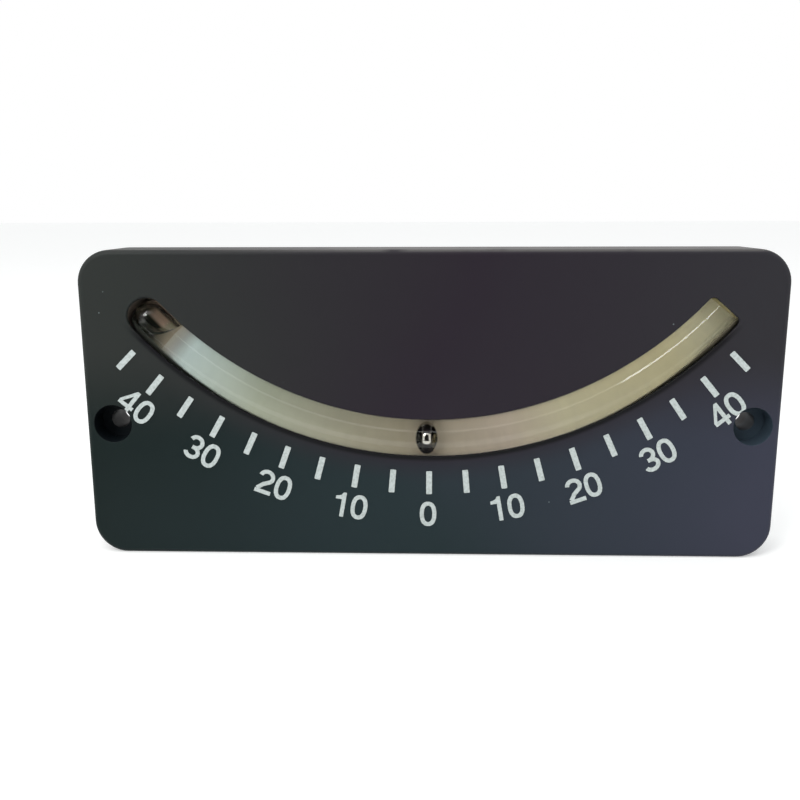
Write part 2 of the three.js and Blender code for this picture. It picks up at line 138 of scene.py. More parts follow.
def skin(name, rings):
    # closed body through rings of equally many points, with a flat cap on the first and the last
    count = len(rings[0])
    points = [p for ring in rings for p in ring]
    faces = []
    for r in range(len(rings) - 1):
        for i in range(count):
            j = (i + 1) % count
            faces.append((r * count + i, r * count + j, (r + 1) * count + j, (r + 1) * count + i))
    faces.append(tuple(range(count)))
    faces.append(tuple((len(rings) - 1) * count + i for i in range(count)))
    return newPiece(name, points, faces)


def combine(piece, tool, how="DIFFERENCE"):
    # boolean with a tool that is used up
    modifier = piece.modifiers.new("combine", "BOOLEAN")
    modifier.object = tool
    modifier.operation = how
    modifier.solver = "MANIFOLD"
    solved = piece.evaluated_get(bpy.context.evaluated_depsgraph_get())
    mesh = bpy.data.meshes.new_from_object(solved)
    piece.modifiers.clear()
    before = piece.data
    piece.data = mesh
    bpy.data.meshes.remove(before)
    toolMesh = tool.data
    bpy.data.objects.remove(tool)
    bpy.data.meshes.remove(toolMesh)
    piece.data.name = piece.name


def finishPiece(piece, material, body, nodes, creaseDegrees=32):
    piece.data.materials.clear()
    piece.data.materials.append(material)
    piece.data.shade_smooth()
    piece.data.set_sharp_from_angle(angle=math.radians(creaseDegrees))
    weighted = piece.modifiers.new("flatFacesStayFlat", "WEIGHTED_NORMAL")
    weighted.keep_sharp = True
    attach(piece, body)
    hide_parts(*nodes)


def roundedEdge(radius, count, last=math.pi / 2):
    # (rise, run) pairs along an edge that is rounded by that radius
    return [(radius * math.sin(a), radius * math.cos(a)) for a in spread(0, last, count)]


def roundedRectangle(width, height, radius, out, inset=0.0):
    ring = []
    for quarter, (sideX, sideUp) in enumerate(quadrants):
        middle = (sideX * (width / 2 - radius), sideUp * (height / 2 - radius))
        start, end = quarter * math.pi / 2, (quarter + 1) * math.pi / 2
        for angle in spread(start, end, steps["plateCorner"]):
            ring.append((middle[0] + (radius - inset) * math.cos(angle),
                         middle[1] + (radius - inset) * math.sin(angle), out))
    return ring


def circle(centre, radius, out, sides=steps["round"]):
    return [(centre[0] + radius * math.cos(a), centre[1] + radius * math.sin(a), out)
            for a in fullTurn(sides)]


def arcStrip(startDegrees, endDegrees, halfWidth, corner, out, grow=0.0, startCorner=None, shift=0.0):
    # outline that follows the arc, with round corners that grow with it, moved outward by its shift
    start, end = startDegrees * perDegree, endDegrees * perDegree
    startCorner = startCorner or corner
    ring = []

    def cornerArc(along, side, radius, fromAngle):
        reach, outward = radius + grow, side * (halfWidth - radius)
        for angle in spread(fromAngle, fromAngle + math.pi / 2, steps["stripCorner"]):
            ring.append((along + reach * math.cos(angle), outward + reach * math.sin(angle)))

    # one stop a degree between the corners
    stops = spread(end - corner, start + startCorner, max(2, round(endDegrees - startDegrees)))[1:-1]
    cornerArc(end - corner, 1, corner, 0)
    ring += [(along, halfWidth + grow) for along in stops]
    cornerArc(start + startCorner, 1, startCorner, math.pi / 2)
    cornerArc(start + startCorner, -1, startCorner, math.pi)
    ring += [(along, -halfWidth - grow) for along in reversed(stops)]
    cornerArc(end - corner, -1, corner, 1.5 * math.pi)
    return [(*arcPoint(along / perDegree, outward + shift), out) for along, outward in ring]


lipForm = {"turnDegrees": 78, "run": 0.6}  # how far it turns, and its straight end as a share of its radius


def mouthSteps(face, lip):
    # (out, grow) pairs of a cutter's mouth, which leave a rounded lip of that radius round the opening
    last = math.radians(lipForm["turnDegrees"])
    pairs = [(face - lip + rise, lip - run) for rise, run in roundedEdge(lip, steps["lip"], last)]
    straight = lipForm["run"] * lip
    out, grow = pairs[-1][0] + straight * math.cos(last), pairs[-1][1] + straight * math.sin(last)
    return pairs + [(out, grow), (face + 3 * overrun, grow)]


# Materials

def hexColour(code):
    # linear colour of an sRGB hex code, by the numbers of the sRGB standard
    shares = [int(code[i:i + 2], 16) / 255 for i in (1, 3, 5)]
    return (*[s / 12.92 if s <= 0.04045 else ((s + 0.055) / 1.055) ** 2.4 for s in shares], 1.0)


def newMaterial(name):
    material = bpy.data.materials.new(name)
    material.use_nodes = True
    material.node_tree.nodes.clear()
    return material, material.node_tree


def addNode(tree, kind, inputs=None, **settings):
    node = tree.nodes.new(kind)
    for name, value in settings.items():
        setattr(node, name, value)
    for name, value in (inputs or {}).items():
        if isinstance(value, bpy.types.NodeSocket):
            tree.links.new(value, node.inputs[name])
        else:
            node.inputs[name].default_value = value
    return node


def perMm(size):
    # noise scale for features of that size, as the coordinates are in metres
    return 1 / (size * mm)


def placeOf(tree):
    return addNode(tree, "ShaderNodeTexCoord").outputs["Object"]


def noiseOf(tree, place, sizeMm, detail, roughness=0.5):
    return addNode(tree, "ShaderNodeTexNoise", {
        "Vector": place, "Scale": perMm(sizeMm), "Detail": detail, "Roughness": roughness,
    }).outputs["Fac"]


def calculate(tree, operation, *values):
    return addNode(tree, "ShaderNodeMath", dict(enumerate(values)), operation=operation).outputs[0]


def times(tree, first, second):
    return calculate(tree, "MULTIPLY", first, second)


def remap(tree, value, before, after=(0.0, 1.0), **settings):
    # from one range to another, held at its ends
    return addNode(tree, "ShaderNodeMapRange", {
        "Value": value, "From Min": before[0], "From Max": before[1], "To Min": after[0], "To Max": after[1],
    }, **settings).outputs[0]


def fade(tree, value, ends, unit=mm):
    # 0 at the first end and 1 at the second, smooth between
    return remap(tree, value, [end * unit for end in ends], interpolation_type="SMOOTHSTEP")


def blend(tree, share, under, over):
    # inputs 6 and 7 and output 2 are the node's colours
    return addNode(tree, "ShaderNodeMix", {"Factor": share, 6: under, 7: over}, data_type="RGBA").outputs[2]


def rampOf(tree, value, stops):
    # colour ramp through (position, colour) pairs, of which a new ramp already has two
    node = addNode(tree, "ShaderNodeValToRGB", {"Fac": value})
    for i, (position, code) in enumerate(stops):
        stop = node.color_ramp.elements[i] if i < 2 else node.color_ramp.elements.new(position)
        stop.position, stop.color = position, hexColour(code)
    return node.outputs["Color"]


def tintAlong(tree, angle, tints):
    # colours along the arc, from (degrees, colour) pairs
    first, last = tints[0][0], tints[-1][0]
    along = remap(tree, angle, (math.radians(first), math.radians(last)))
    return rampOf(tree, along, [((degrees - first) / (last - first), code) for degrees, code in tints])


def placeOnArc(tree, place):
    # the shading point's angle from straight down, and how far it is from the arc's centre
    split = addNode(tree, "ShaderNodeSeparateXYZ", {"Vector": place}).outputs
    below = calculate(tree, "SUBTRACT", arc["centreUp"] * mm, split["Z"])
    angle = calculate(tree, "ARCTAN2", split["X"], below)
    flat = addNode(tree, "ShaderNodeCombineXYZ", {"X": split["X"], "Y": below})
    distance = addNode(tree, "ShaderNodeVectorMath", {0: flat.outputs[0]}, operation="LENGTH")
    return angle, distance.outputs["Value"]


def distanceTo(tree, place, x, up):
    return addNode(tree, "ShaderNodeVectorMath", {0: place, 1: (x * mm, 0, up * mm)},
                   operation="DISTANCE").outputs["Value"]


def bumpOf(tree, height, strength, depthMm):
    return addNode(tree, "ShaderNodeBump", {
        "Height": height, "Strength": strength, "Distance": depthMm * mm,
    }).outputs[0]


def principled(tree, colour, roughness, more):
    return addNode(tree, "ShaderNodeBsdfPrincipled", {
        "Base Color": colour, "Roughness": roughness, **more,
    }).outputs[0]


def clearShader(tree):
    return addNode(tree, "ShaderNodeBsdfTransparent", {"Color": (1, 1, 1, 1)}).outputs[0]


def mixShaders(tree, share, first, second):
    return addNode(tree, "ShaderNodeMixShader", {0: share, 1: first, 2: second}).outputs[0]


def finishMaterial(tree, surface, kind="Material"):
    addNode(tree, "ShaderNodeOutput" + kind, {"Surface": surface})


# the sunk seats and holes of the two mounting screws
mount = {
    "x": 65.25, "up": -3.654, "seatRadius": 3.9, "seatDepth": 5, "holeRadius": 1.95, "lip": 0.15, "boss": 1.7,
}

# In the looks below a noise is the size of its features in mm, its detail and sometimes its roughness,
# and a bump is its strength and its depth in mm

moulded = {
    # the tint drifts from a greenish to a violet black, and below the arc it is darker, darkest at the lower
    # left
    "above": ((0.0, "#2b2e2c"), (0.55, "#29232b"), (1.0, "#2d2c30")),
    "below": ((0.0, "#131e1d"), (0.5, "#212d30"), (1.0, "#363845")),
    "belowFrom": (80, 88),  # distance from the arc's centre, in mm
    "belowUnder": (13, -9),  # height, in mm
    "frontFrom": (3, 5),  # distance from the flat back, in mm: nearer to it the plastic is plain
    "drift": (60, 1.0), "driftMiddle": 0.5, "driftShare": 0.5,  # a noise runs from 0 to 1
    "grain": (0.35, 3.0, 0.6), "bump": (0.12, 0.05), "roughness": (0.42, 0.54), "specular": 0.1, "ior": 1.54,
    # how far the specks lie apart in mm, their size as a share of that, and how much of it shows
    "dust": "#8d9a9c", "speckMm": 7.5, "speckSize": (0.013, 0.022), "dustShare": 0.55,
}
wearAndPaintedLight = {
    # pale patches on the top side, most of all right of the middle: rubbed wear, and painted light where
    # light from above falls on the top side
    "scuffedAndToplit": "#585655", "scuffs": (9, 5.0), "scuffNoise": (0.24, 0.5), "topReach": (0.7, 0.1),
    "scuffFrom": (-50, -10), "scuffShare": (0.15, 1.0),
    # painted shade beside the tube's outer side
    "shadeBesideTube": "#141416", "shadeBesideTubeRadius": (82.9, 82.0), "shadeBesideTubeInside": 78, "shadeBesideTubeUnder": (18, 13),
    # painted shade in the screw seats, left and right
    "seatShades": ("#0b1013", "#36424c"), "seatMargin": 0.03,
    # adhesive on the groove's walls round the closed end, and cream sealant round the stopper, both pale as
    # painted light that lifts the shade deep in the groove's ends:
    # (colour, x and height, and the distances from there at which it starts and is full), in mm
    "smearsAndPaintedLight": (("#6a6058", (-57.5, 16.5), (8.5, 6.5)), ("#fff3d2", (60.1, 20.8), (4.6, 3.6))),
    "smearUnderFace": (1.4, 2.2),
}


def makeMouldedAbs():
    # black ABS from a spark-eroded mould: an even satin grain, a faint drift of tint, and dust on it, with
    # painted shade beside the tube and in the screw seats, and painted light on the top side and in the
    # groove's ends
    material, tree = newMaterial("mouldedAbs")
    place = placeOf(tree)
    split = addNode(tree, "ShaderNodeSeparateXYZ", {"Vector": place}).outputs
    sideways, upward = split["X"], split["Z"]
    fromCentre = placeOnArc(tree, place)[1]
    across = remap(tree, sideways, (plateLow.x, plateHigh.x))
    shift = calculate(tree, "ADD", noiseOf(tree, place, *moulded["drift"]), -moulded["driftMiddle"])
    along = calculate(tree, "MULTIPLY_ADD", shift, moulded["driftShare"], across)
    front = fade(tree, split["Y"], [-out for out in moulded["frontFrom"]])
    tints = [rampOf(tree, along, moulded[row]) for row in ("above", "below")]
    under = times(tree, fade(tree, fromCentre, moulded["belowFrom"]),
                  fade(tree, upward, moulded["belowUnder"]))
    colour = blend(tree, times(tree, under, front), *tints)

    # pale patches on the top side: rubbed wear, and painted light from above
    atTop = fade(tree, upward, [plateHigh.z - depth * mm for depth in wearAndPaintedLight["topReach"]], 1)
    patches = fade(tree, noiseOf(tree, place, *wearAndPaintedLight["scuffs"]), wearAndPaintedLight["scuffNoise"], 1)
    handled = remap(tree, sideways, [x * mm for x in wearAndPaintedLight["scuffFrom"]], wearAndPaintedLight["scuffShare"])
    rubbedAndToplit = times(tree, times(tree, atTop, patches), handled)
    colour = blend(tree, rubbedAndToplit, colour, hexColour(wearAndPaintedLight["scuffedAndToplit"]))

    # painted shade in a band beside the tube's outer side, fading out higher up and nearer the back
    outside = calculate(tree, "GREATER_THAN", fromCentre, wearAndPaintedLight["shadeBesideTubeInside"] * mm)
    shadedBeside = times(tree, fade(tree, fromCentre, wearAndPaintedLight["shadeBesideTubeRadius"]), outside)
    low = times(tree, fade(tree, upward, wearAndPaintedLight["shadeBesideTubeUnder"]), front)
    colour = blend(tree, times(tree, shadedBeside, low), colour, hexColour(wearAndPaintedLight["shadeBesideTube"]))

    onFace = addNode(tree, "ShaderNodeCombineXYZ", {"X": sideways, "Z": upward}).outputs[0]
    deep = fade(tree, split["Y"], [depth * mm + plateLow.y for depth in wearAndPaintedLight["smearUnderFace"]], 1)
    # adhesive and sealant on the groove's walls, pale as painted light in the groove's shaded ends
    for code, middle, reach in wearAndPaintedLight["smearsAndPaintedLight"]:
        near = fade(tree, distanceTo(tree, onFace, *middle), reach)
        colour = blend(tree, times(tree, near, times(tree, deep, front)), colour, hexColour(code))

    # painted shade in both seats at once, with the left half folded onto the right one
    folded = addNode(tree, "ShaderNodeCombineXYZ", {
        "X": calculate(tree, "ABSOLUTE", sideways), "Z": upward,
    }).outputs[0]
    inShadedSeat = calculate(tree, "LESS_THAN", distanceTo(tree, folded, mount["x"], mount["up"]),
                       (mount["seatRadius"] + wearAndPaintedLight["seatMargin"]) * mm)
    seatShadeTint = blend(tree, across, *[hexColour(code) for code in wearAndPaintedLight["seatShades"]])
    colour = blend(tree, times(tree, inShadedSeat, front), colour, seatShadeTint)

    specks = addNode(tree, "ShaderNodeTexVoronoi", {"Vector": place, "Scale": perMm(moulded["speckMm"])})
    dusty = remap(tree, specks.outputs["Distance"], moulded["speckSize"], (moulded["dustShare"], 0.0))
    colour = blend(tree, dusty, colour, hexColour(moulded["dust"]))
    grain = noiseOf(tree, place, *moulded["grain"])
    finishMaterial(tree, principled(tree, colour, remap(tree, grain, (0, 1), moulded["roughness"]), {
        "Normal": bumpOf(tree, grain, *moulded["bump"]), "IOR": moulded["ior"],
        "Specular IOR Level": moulded["specular"],
    }))
    return material


inkLook = {
    "mottle": (0.5, 3.0), "tints": ((0.25, "#a0a9a5"), (0.6, "#bbc3c1")), "bump": (0.3, 0.04),
    "roughness": 0.55, "ior": 1.5,
}


def makeScreenInk():
    # white epoxy screen ink: matt, with the faint mottle of the mesh that it was pressed through
    material, tree = newMaterial("screenInk")
    mottle = noiseOf(tree, placeOf(tree), *inkLook["mottle"])
    finishMaterial(tree, principled(tree, rampOf(tree, mottle, inkLook["tints"]), inkLook["roughness"], {
        "Normal": bumpOf(tree, mottle, *inkLook["bump"]), "IOR": inkLook["ior"],
    }))
    return material


glassLook = {
    "tint": "#fbfdf6", "ior": 1.47, "roughness": 0.015, "reflection": "#ececec",
    # painted shade on the outer flank, more and more towards the ends
    "flankShade": ("#454842", "#8f8872"), "flankShadeDegrees": (12, 44), "flankShadeRadius": (83.2, 80.9), "flankShadeEdge": 0.9,
    "flankShadeTurn": (-0.3, 0.3),  # where its left colour changes to the right one, in radians along the arc
    "flankShadeRoughness": 0.5, "flankShadeSpecular": 0.2,
}


def makeTubeGlass():
    # drawn soda glass full of light oil, which bends light alike, so the two look like one clear rod
    material, tree = newMaterial("drawnGlassWithOil")
    glass = principled(tree, hexColour(glassLook["tint"]), glassLook["roughness"], {
        "IOR": glassLook["ior"], "Transmission Weight": 1.0,
        "Specular Tint": hexColour(glassLook["reflection"]),
    })
    path = addNode(tree, "ShaderNodeLightPath").outputs
    clean = mixShaders(tree, path["Is Shadow Ray"], glass, clearShader(tree))
    # the painted shade begins at a distance from the arc's centre that shrinks towards both ends
    angle, fromCentre = placeOnArc(tree, placeOf(tree))
    limit = remap(tree, calculate(tree, "ABSOLUTE", angle),
                  [math.radians(degrees) for degrees in glassLook["flankShadeDegrees"]],
                  [radius * mm for radius in glassLook["flankShadeRadius"]])
    edge = glassLook["flankShadeEdge"] / 2
    flankShaded = fade(tree, calculate(tree, "SUBTRACT", fromCentre, limit), (-edge, edge))
    toRight = fade(tree, angle, glassLook["flankShadeTurn"], 1)
    # the painted shade's colour, dark on the left and browner on the right
    dust = blend(tree, toRight, *[hexColour(code) for code in glassLook["flankShade"]])
    flankShadeSurface = principled(tree, dust, glassLook["flankShadeRoughness"], {
        "Specular IOR Level": glassLook["flankShadeSpecular"],
    })
    finishMaterial(tree, mixShaders(tree, flankShaded, clean, flankShadeSurface))
    return material


steelLook = {"tint": "#c6c2be", "scuffs": (0.8, 4.0), "scuffNoise": (0.35, 0.75), "roughness": (0.05, 0.16)}


def makeBearingSteel():
    # lapped chrome steel: a mirror with the faintest scuffs
    material, tree = newMaterial("lappedBearingSteel")
    scuffs = noiseOf(tree, placeOf(tree), *steelLook["scuffs"])
    roughness = remap(tree, scuffs, steelLook["scuffNoise"], steelLook["roughness"])
    finishMaterial(tree, principled(tree, hexColour(steelLook["tint"]), roughness, {"Metallic": 1.0}))
    return material


film = {
    "leftDegrees": -43,
    "rightDegrees": 49.7,
    # colour along the arc, with painted light in it: cool light on the left, warm light on the right, lifted
    # towards the right end
    "tints": (
        # place along the arc in degrees, colour
        (-43, "#b2aaa1"), (-41.4, "#9da0a1"), (-39.6, "#b6c4c8"), (-27, "#adb1a3"), (-4, "#c4b7a4"),
        (12, "#efdbce"), (21, "#fff3d6"), (38, "#fff1cb"), (46, "#fff6da"), (49.7, "#fff6da"),
    ),
    "mottle": (1.2, 4.0), "shade": (0.9, 1.06), "roughness": 0.6, "ior": 1.5,
}
adhesiveLook = {
    # pinkish brown in the middle of the bubble and at the closed end, made pale as painted light against the
    # deep groove's shade, dark at both sides, and grey where it meets the film
    "middle": (
        (-50, "#5c564c"), (-49.4, "#64574c"), (-47.2, "#ffd6c8"), (-45.4, "#fbd0c2"), (-44.6, "#cbb9a4"),
        (-42.6, "#9b8e80"),
    ),
    "sides": (
        (-50, "#5c564c"), (-48.2, "#4a453c"), (-45.4, "#24221a"), (-44.6, "#8f8573"), (-42.6, "#9b8e80"),
    ),
    "outerSide": (79.0, 80.2), "innerSide": (76.6, 75.0),  # distance from the arc's centre, in mm
    "mottle": (2.2, 4.0), "shade": (0.9, 1.06), "roughness": 0.35, "ior": 1.48,
}


def makeAgedStrip(name, colourOf, look):
    # a strip whose colour changes along the arc, under a fine mottle
    material, tree = newMaterial(name)
    place = placeOf(tree)
    shade = remap(tree, noiseOf(tree, place, *look["mottle"]), (0, 1), look["shade"])
    mottled = addNode(tree, "ShaderNodeVectorMath", {
        0: colourOf(tree, *placeOnArc(tree, place)), "Scale": shade,
    }, operation="SCALE")
    finishMaterial(tree, principled(tree, mottled.outputs[0], look["roughness"], {"IOR": look["ior"]}))
    return material


def filmColour(tree, angle, fromCentre):
    return tintAlong(tree, angle, film["tints"])


def adhesiveColour(tree, angle, fromCentre):
    shares = [fade(tree, fromCentre, adhesiveLook[side]) for side in ("outerSide", "innerSide")]
    atSides = calculate(tree, "MAXIMUM", *shares)
    return blend(tree, atSides, *[tintAlong(tree, angle, adhesiveLook[row]) for row in ("middle", "sides")])


plainLook = {"detail": 4.0, "tintsAt": (0.3, 0.7), "roughnessEitherWay": 0.08, "bump": (0.25, 0.03)}


def makePlain(name, tints, roughness, patternMm, metallic=0.0, ior=1.5):
    # one material with a noise between two tints, for the small pieces
    material, tree = newMaterial(name)
    noise = noiseOf(tree, placeOf(tree), patternMm, plainLook["detail"])
    colour = rampOf(tree, noise, zip(plainLook["tintsAt"], tints))
    most = plainLook["roughnessEitherWay"]
    rough = remap(tree, noise, (0, 1), (roughness - most, roughness + most))
    finishMaterial(tree, principled(tree, colour, rough, {
        "Metallic": metallic, "Normal": bumpOf(tree, noise, *plainLook["bump"]), "IOR": ior,
    }))
    return material


mouldedAbs = makeMouldedAbs()
screenInk = makeScreenInk()
tubeGlass = makeTubeGlass()
bearingSteel = makeBearingSteel()
# matt cream film, its colour along the arc also painted light: cooler on the left, warmer on the right and
# brighter towards the right end against the lip's shade, and greyer at the left end
creamFilm = makeAgedStrip("mattCreamFilm", filmColour, film)
# contact adhesive behind the tube's closed end, made pale as painted light where it lies deep in the groove's
# shade
adhesiveWithPaintedLight = makeAgedStrip("adhesiveWithPaintedLight", adhesiveColour, adhesiveLook)
# acetoxy silicone, cured in the groove with a soft shine
blackSilicone = makePlain("curedSilicone", ("#101012", "#1a1a1c"), roughness=0.38, patternMm=1.5, ior=1.41)
# moulded natural rubber, dull and a little yellow
creamRubber = makePlain("mouldedRubber", ("#e3d6a0", "#f3e7b4"), roughness=0.62, patternMm=1.0, ior=1.52)
# cold-headed steel with bright zinc plate
zincPlate = makePlain("zincPlatedSteel", ("#8f9499", "#b9bcc0"), roughness=0.3, patternMm=0.4, metallic=1.0)
print("materials made")


# Plate and cover, in mm

plate = {
    "width": (plateHigh.x - plateLow.x) / mm,
    "height": (plateHigh.z - plateLow.z) / mm,
    "depth": (plateHigh.y - plateLow.y) / mm,
    "corner": 6.8,
    "faceFillet": 1.1,
    "backEdge": 0.3,
    "faceThickness": 2.4,
    "rim": 1.4,  # round the cover's pocket
    "ledge": 1.3,  # on which the cover lies
    "troughWall": 1.6,
}
groove = {
    "halfWidth": 4.6, "startDegrees": -50.0, "endDegrees": 49.92, "startCorner": 4.4, "corner": 0.8,
    "floorOut": 4.4, "floorFillet": 0.6,
}
mouth = {
    # what the face leaves open: the lip covers the groove's outer side and its right end
    "endDegrees": 48.9, "overhang": 1.45, "startCorner": 3.65, "corner": 1.2,
    "lipThickness": 0.8, "lip": 0.25,
}
cover = {"thickness": 2, "gap": 0.3, "edge": 0.3, "countersink": 0.3}
post = {"radius": 3.1, "inset": 7, "topSpread": 42, "pilotRadius": 1.5, "pilotEnd": 9.8}
postUp = plate["height"] / 2 - post["inset"]
postSide = plate["width"] / 2 - post["inset"]
screwPlaces = {
    "bottom_left": (-postSide, -postUp), "bottom_middle": (0, -postUp), "bottom_right": (postSide, -postUp),
    "top_left": (-post["topSpread"], postUp), "top_middle": (0, postUp),
    "top_right": (post["topSpread"], postUp),
}
mountPlaces = [(side * mount["x"], mount["up"]) for side in (-1, 1)]


def rod(centre, radius, start, end, sides=steps["round"]):
    return skin("rod", [circle(centre, radius, start, sides), circle(centre, radius, end, sides)])


def sizedRectangle(inset, out):
    return roundedRectangle(plate["width"], plate["height"], plate["corner"], out, inset)


def grooveOutline(out, grow):
    return arcStrip(groove["startDegrees"], groove["endDegrees"], groove["halfWidth"], groove["corner"], out,
                    grow, groove["startCorner"])


def mouthOutline(out, grow):
    return arcStrip(groove["startDegrees"], mouth["endDegrees"], groove["halfWidth"] - mouth["overhang"] / 2,
                    mouth["corner"], out, grow, mouth["startCorner"], -mouth["overhang"] / 2)


def backRounding(inset, edge):
    return [sizedRectangle(inset + edge - rise, edge - run)
            for rise, run in roundedEdge(edge, steps["backEdge"])]


def makeHousing():
    fillet, depth, under = plate["faceFillet"], plate["depth"], -2 * overrun
    housing = skin("mouldedHousing", backRounding(0, plate["backEdge"]) + [
        sizedRectangle(fillet - run, depth - fillet + rise)
        for rise, run in roundedEdge(fillet, steps["faceFillet"])
    ])

    inset = plate["rim"] + plate["ledge"]
    ceiling = depth - plate["faceThickness"]
    cavity = skin("cavity", [sizedRectangle(inset, out) for out in (-overrun, ceiling)])
    wall, bottom = plate["troughWall"], groove["floorOut"]
    combine(cavity, skin("trough", [grooveOutline(out, wall) for out in (bottom - wall, depth + overrun)]))
    for place in mountPlaces:
        combine(cavity, rod(place, mount["seatRadius"] + mount["boss"], under, depth))
    for place in screwPlaces.values():
        combine(cavity, rod(place, post["radius"], under, depth, steps["post"]))
    combine(housing, cavity)
    combine(housing, skin("pocket", [
        sizedRectangle(plate["rim"], out) for out in (-overrun, cover["thickness"])
    ]))

    fillet = groove["floorFillet"]
    cutter = [(bottom + fillet - run, rise - fillet) for rise, run in roundedEdge(fillet, steps["edge"])]
    cutter.append((depth - mouth["lipThickness"], 0))
    combine(housing, skin("groove", [grooveOutline(out, grow) for out, grow in cutter]))
    cutter = [(depth - mouth["lipThickness"] - mouth["lip"], 0)] + mouthSteps(depth, mouth["lip"])
    combine(housing, skin("mouth", [mouthOutline(out, grow) for out, grow in cutter]))
    for place in mountPlaces:
        cutter = [(depth - mount["seatDepth"], 0)] + mouthSteps(depth, mount["lip"])
        combine(housing, skin("seat", [
            circle(place, mount["seatRadius"] + grow, out, steps["seat"]) for out, grow in cutter
        ]))
        combine(housing, rod(place, mount["holeRadius"], under, depth, steps["hole"]))
    for place in screwPlaces.values():
        combine(housing, rod(place, post["pilotRadius"], under, post["pilotEnd"], steps["pilot"]))
    finishPiece(housing, mouldedAbs, "housing", ["front_housing"])


def makeCover():
    inset, sink, past = plate["rim"] + cover["gap"], cover["countersink"], cover["thickness"] + overrun
    rings = backRounding(inset, cover["edge"]) + [sizedRectangle(inset, cover["thickness"])]
    lid = skin("backCover", rings)
    for place in mountPlaces:
        combine(lid, skin("countersunk", [
            circle(place, mount["holeRadius"] + grow, out)
            for out, grow in ((-overrun, 2 * sink), (0, sink), (sink, 0), (past, 0))
        ]))
    for place in screwPlaces.values():
        headRoom = screw["headRadius"] + cover["gap"]
        combine(lid, rod(place, headRoom, -overrun, screw["headHeight"], steps["post"]))
        combine(lid, rod(place, post["pilotRadius"], -overrun, past, steps["pilot"]))
    finishPiece(lid, mouldedAbs, "housing", ["back_cover"])


screw = {
    "headRadius": 2.6, "headHeight": 1.2, "edge": 0.25, "length": 7.5, "tip": 1.0, "tipRadius": 0.05,
    "shankRadius": 1.2, "coreShare": 0.82, "threadFrom": 0.4, "threadPitch": 1.0, "threadRise": 0.3,
    "middleRadius": 0.01, "recess": (2.8, 0.6),
    # how far in from the head, and the share of the recess's size there
    "recessTaper": ((-0.5, 1.1), (0, 1.0), (0.7, 0.72)),
}


def makeScrew(name, place):
    head, end, edge = screw["headHeight"], screw["headHeight"] + screw["length"], screw["edge"]
    flat, core = screw["headRadius"] - edge, screw["shankRadius"] * screw["coreShare"]
    crest = screw["threadRise"]
    profile = [(screw["middleRadius"], 0), (flat, 0)]
    profile += [(flat + rise, edge - run) for rise, run in roundedEdge(edge, steps["edge"])[1:]]
    profile += [(screw["headRadius"], head), (core, head)]
    turns = int((screw["length"] - screw["tip"] - screw["threadFrom"]) / screw["threadPitch"])
    for turn in range(turns):
        foot = head + screw["threadFrom"] + turn * screw["threadPitch"]
        profile += [(core, foot), (screw["shankRadius"], foot + crest), (core, foot + 2 * crest)]
    profile += [(core, end - screw["tip"]), (screw["tipRadius"], end)]
    piece = skin(name, [circle(place, radius, out, steps["screw"]) for radius, out in profile])
    for length, width in (screw["recess"], reversed(screw["recess"])):
        combine(piece, skin("recess", [
            [(place[0] + sx * (length / 2 * share), place[1] + sy * (width / 2 * share), out)
             for sx, sy in quadrants] for out, share in screw["recessTaper"]
        ]))
    return piece


makeHousing()
makeCover()
for where, place in screwPlaces.items():
    finishPiece(makeScrew("coverScrew_" + where, place), zincPlate, "housing",
                ["cover_screw_" + where])
print("plate, cover and screws made")


# Tube and what it holds, in mm

tube = {
    "radius": 3.85, "boreRadius": 2.7, "leftDegrees": -49.45, "rightDegrees": 49.7,
    "domeLength": 3.4, "boreDomeLength": 2.3, "tipRadius": 0.02, "endRound": 0.35,
}
bubble = {"x": -55.4, "up": 14.4, "roundness": 5.0, "bowlRadius": 11, "reachDegrees": -38}
stopper = {"innerDegrees": 48.95, "proud": 0.06, "edge": 0.3}
ball = {"poleRadius": 0.01, "creaseDegrees": 80}


def tubeRing(along, radius, sides):
    # a round section at a length along the arc, about the tube's own centre line
    ring = []
    for a in fullTurn(sides):
        outward = arc["tubeRadius"] - arc["radius"] + radius * math.cos(a)
        ring.append((*arcPoint(along / perDegree, outward), arc["tubeOut"] + radius * math.sin(a)))
    return ring


def bentRod(name, stations, sides=steps["round"]):
    return skin(name, [tubeRing(along, radius, sides) for along, radius in stations])


def dome(tip, length, radius):
    return [(tip + length * (1 - math.cos(a)), max(radius * math.sin(a), tube["tipRadius"]))
            for a in spread(0, math.pi / 2, steps["dome"])]


